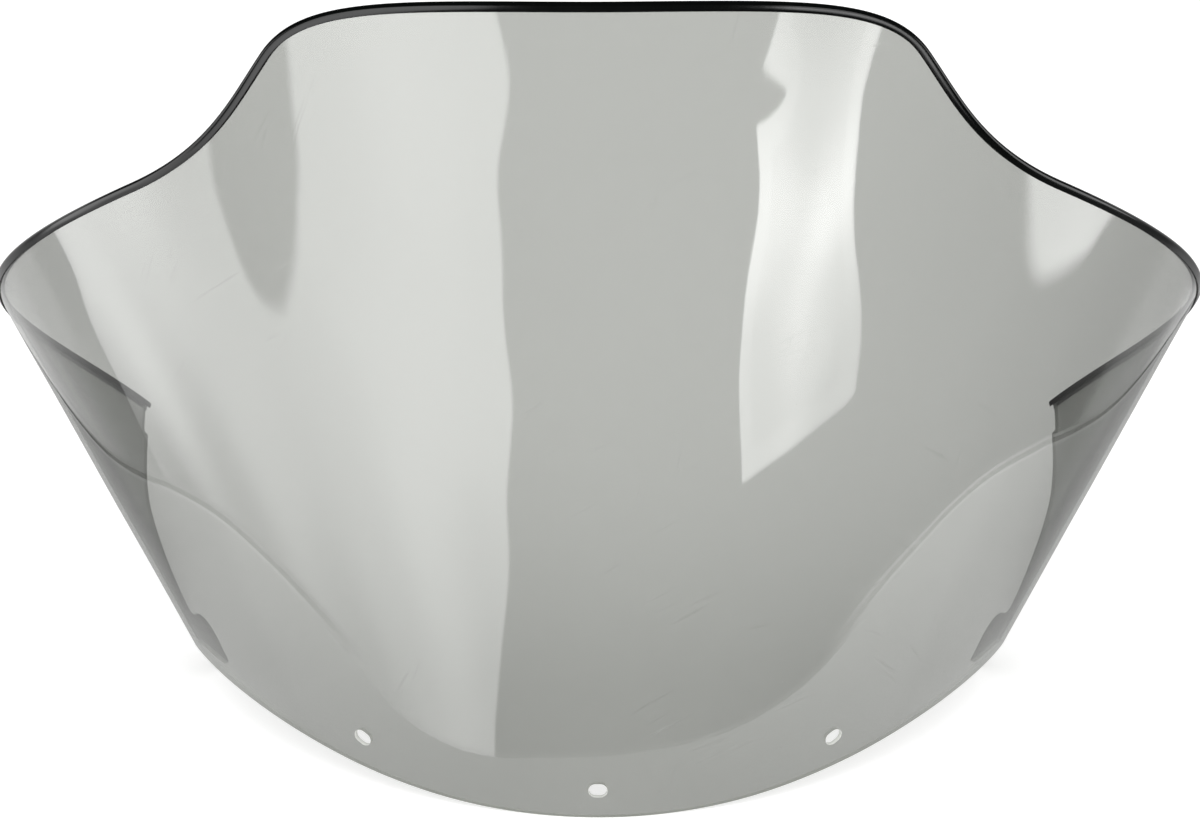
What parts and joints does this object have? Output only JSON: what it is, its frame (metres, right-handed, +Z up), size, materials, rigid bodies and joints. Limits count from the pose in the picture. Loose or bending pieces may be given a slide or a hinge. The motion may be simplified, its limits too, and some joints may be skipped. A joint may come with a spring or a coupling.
{
  "type": "windshield screen",
  "caption": "Smoked see-through wrap-around windshield sheet with flared wings, slotted lower edge and a black push-on edge trim.",
  "frame": {"origin": "middle of the part in plan, at the level it stands on", "axes": "+Z up, the convex front faces -Y, +X to the right as seen from the front"},
  "size_m": [0.9088, 0.4578, 0.605],
  "materials": {
    "smoked_polycarbonate": "polished, see-through, light grey smoke tint",
    "black_trim": "glossy black flexible vinyl"
  },
  "bodies": {
    "root": {"screen": "smoked_polycarbonate", "edge_trim": "black_trim"}
  },
  "joints": []
}
